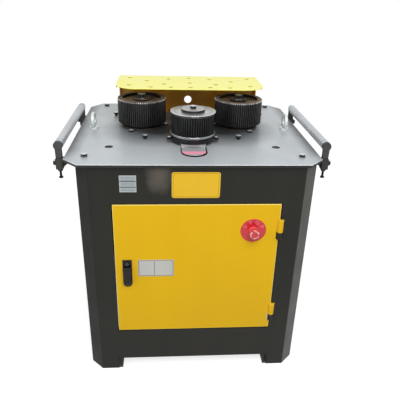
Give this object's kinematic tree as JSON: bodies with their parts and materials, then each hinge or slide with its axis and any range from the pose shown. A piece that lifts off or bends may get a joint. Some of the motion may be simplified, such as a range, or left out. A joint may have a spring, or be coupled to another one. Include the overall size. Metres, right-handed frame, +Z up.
{
  "type": "bar bending machine",
  "caption": "Floor-standing bar bender with two geared drive rollers, a press roller on a feed slide, side support rollers, a guard and a cabinet with a hinged door.",
  "frame": {"origin": "on the floor, under the middle of the machine's box", "axes": "+Z up, the door faces -Y, +X to the right of a person who faces the door"},
  "size_m": [0.9406, 0.796, 1.025],
  "materials": {
    "cabinet_paint": "dark grey powder coat, fine satin texture",
    "door_paint": "yellow powder coat",
    "guard_paint": "yellow powder coat",
    "table_steel": "ground steel plate",
    "roller_steel": "blackened steel",
    "bright_steel": "turned steel",
    "shaft_steel": "ground steel",
    "zinc_steel": "zinc plated",
    "black_oxide": "black oxide",
    "iron": "cast, grey primer",
    "motor_paint": "blue grey paint",
    "tube_steel": "drawn tube",
    "plate_white": "white enamel",
    "panel_grey": "light grey paint",
    "black_plastic": "fine texture",
    "red_plastic": "smooth",
    "bronze": "cast bronze",
    "gland_plastic": "smooth nylon"
  },
  "bodies": {
    "machine": {"front_panel": "cabinet_paint", "left_side_panel": "cabinet_paint", "right_side_panel": "cabinet_paint", "rear_panel": "cabinet_paint", "rear_cover": "cabinet_paint", "cover_screws": "zinc_steel", "corner_posts": "cabinet_paint", "foot_plates": "cabinet_paint", "table_top": "table_steel", "table_bolts": "black_oxide", "table_plugs": "black_oxide", "eyebolts": "zinc_steel", "guard_back_plate": "guard_paint", "guard_top_plate": "guard_paint", "bearing_housings": "iron", "shaft_bearings": "bright_steel", "slide_rails": "shaft_steel", "feed_screw_bearing": "iron", "feed_motor": "motor_paint", "gear_reducer": "motor_paint", "drive_motor": "motor_paint", "drive_shelf": "iron", "electrical_panel": "panel_grey", "front_plates": "guard_paint", "hinge_frame_halves": "black_oxide", "support_sockets": "zinc_steel", "support_lock_bolts": "zinc_steel", "cable_gland": "gland_plastic"},
    "door": {"door_panel": "door_paint", "hinge_door_halves": "door_paint", "lock_housing": "black_plastic", "door_plate": "plate_white", "stop_ring": "red_plastic", "stop_body": "black_plastic"},
    "lock_spindle": {"lock_spindle": "black_oxide"},
    "lock_handle": {"lock_handle": "black_plastic"},
    "lock_button": {"lock_button": "black_plastic"},
    "stop_plunger": {"stop_plunger": "black_plastic"},
    "stop_head": {"stop_head": "red_plastic"},
    "drive_left": {"drive_roller_left": "roller_steel", "drive_shaft_left": "shaft_steel", "drive_gear_left": "shaft_steel"},
    "drive_right": {"drive_roller_right": "roller_steel", "drive_shaft_right": "shaft_steel", "drive_gear_right": "shaft_steel"},
    "pinion": {"pinion_shaft": "shaft_steel"},
    "press_slide": {"press_slide": "shaft_steel", "press_axle": "shaft_steel", "press_base_disc": "black_oxide"},
    "press_roller": {"press_roller": "roller_steel", "press_roller_flanges": "bright_steel"},
    "feed_screw": {"feed_screw": "shaft_steel"},
    "support_arms_left": {"support_arms_left": "black_oxide"},
    "support_arms_right": {"support_arms_right": "black_oxide"},
    "support_roller_left": {"support_roller_left": "tube_steel"},
    "support_roller_right": {"support_roller_right": "tube_steel"},
    "jack_front_left": {"jack_screw_front_left": "zinc_steel"},
    "jack_rear_left": {"jack_screw_rear_left": "zinc_steel"},
    "jack_front_right": {"jack_screw_front_right": "zinc_steel"},
    "jack_rear_right": {"jack_screw_rear_right": "zinc_steel"}
  },
  "joints": [
    {"name": "door_swing", "type": "hinge", "parent": "machine", "child": "door", "pos_m": [0.3007, -0.364, 0.457], "axis": [0, 0, 1], "range_deg": [0, 115]},
    {"name": "lock_turn", "type": "hinge", "parent": "door", "child": "lock_spindle", "pos_m": [-0.2355, -0.36, 0.412], "axis": [0, 1, 0], "range_deg": [0, 90]},
    {"name": "lock_handle_flip", "type": "hinge", "parent": "lock_spindle", "child": "lock_handle", "pos_m": [-0.2355, -0.3743, 0.412], "axis": [1, 0, 0], "range_deg": [0, 40]},
    {"name": "lock_button_push", "type": "slide", "parent": "door", "child": "lock_button", "axis": [0, 1, 0], "range_m": [0, 0.003], "stiffness_N_per_m": 300},
    {"name": "stop_push", "type": "slide", "parent": "door", "child": "stop_plunger", "axis": [0, 1, 0], "range_m": [0, 0.005]},
    {"name": "stop_twist", "type": "hinge", "parent": "stop_plunger", "child": "stop_head", "pos_m": [0.206, -0.39, 0.622], "axis": [0, 1, 0], "range_deg": [0, 45], "stiffness_Nm_per_rad": 0.05},
    {"name": "drive_left", "type": "hinge", "parent": "machine", "child": "drive_left", "pos_m": [-0.19, 0.054, 0.9], "axis": [0, 0, 1], "continuous": true},
    {"name": "drive_right", "type": "hinge", "parent": "machine", "child": "drive_right", "pos_m": [0.19, 0.054, 0.9], "axis": [0, 0, 1], "continuous": true},
    {"name": "pinion_turn", "type": "hinge", "parent": "machine", "child": "pinion", "pos_m": [0, 0.054, 0.685], "axis": [0, 0, 1], "continuous": true},
    {"name": "press_feed", "type": "slide", "parent": "machine", "child": "press_slide", "axis": [0, 1, 0], "range_m": [-0.005, 0.12]},
    {"name": "feed_screw_turn", "type": "hinge", "parent": "machine", "child": "feed_screw", "pos_m": [0, 0, 0.785], "axis": [0, 1, 0], "range_deg": [-7210, 310]},
    {"name": "press_roller_spin", "type": "hinge", "parent": "press_slide", "child": "press_roller", "pos_m": [0, -0.1384, 0.944], "axis": [0, 0, 1], "continuous": true},
    {"name": "support_height_left", "type": "slide", "parent": "machine", "child": "support_arms_left", "axis": [0, 0, 1], "range_m": [0, 0.015]},
    {"name": "support_roll_left", "type": "hinge", "parent": "support_arms_left", "child": "support_roller_left", "pos_m": [-0.45, 0, 0.905], "axis": [0, 1, 0], "continuous": true},
    {"name": "jack_turn_front_left", "type": "hinge", "parent": "support_arms_left", "child": "jack_front_left", "pos_m": [-0.45, -0.289, 0.8], "axis": [0, 0, 1], "range_deg": [0, 4321]},
    {"name": "jack_turn_rear_left", "type": "hinge", "parent": "support_arms_left", "child": "jack_rear_left", "pos_m": [-0.45, 0.211, 0.8], "axis": [0, 0, 1], "range_deg": [0, 4321]},
    {"name": "support_height_right", "type": "slide", "parent": "machine", "child": "support_arms_right", "axis": [0, 0, 1], "range_m": [0, 0.015]},
    {"name": "support_roll_right", "type": "hinge", "parent": "support_arms_right", "child": "support_roller_right", "pos_m": [0.45, 0, 0.905], "axis": [0, 1, 0], "continuous": true},
    {"name": "jack_turn_front_right", "type": "hinge", "parent": "support_arms_right", "child": "jack_front_right", "pos_m": [0.45, -0.289, 0.8], "axis": [0, 0, 1], "range_deg": [0, 4321]},
    {"name": "jack_turn_rear_right", "type": "hinge", "parent": "support_arms_right", "child": "jack_rear_right", "pos_m": [0.45, 0.211, 0.8], "axis": [0, 0, 1], "range_deg": [0, 4321]}
  ],
  "couplings": [
    {"joint": "drive_right", "follows": "drive_left", "ratio": 1},
    {"joint": "pinion_turn", "follows": "drive_left", "ratio": -3.1304},
    {"joint": "feed_screw_turn", "follows": "press_feed", "rad_per_m": -1047.2},
    {"joint": "jack_turn_front_left", "follows": "support_height_left", "rad_per_m": 5026.5},
    {"joint": "jack_turn_rear_left", "follows": "support_height_left", "rad_per_m": 5026.5},
    {"joint": "jack_turn_front_right", "follows": "support_height_right", "rad_per_m": 5026.5},
    {"joint": "jack_turn_rear_right", "follows": "support_height_right", "rad_per_m": 5026.5}
  ]
}
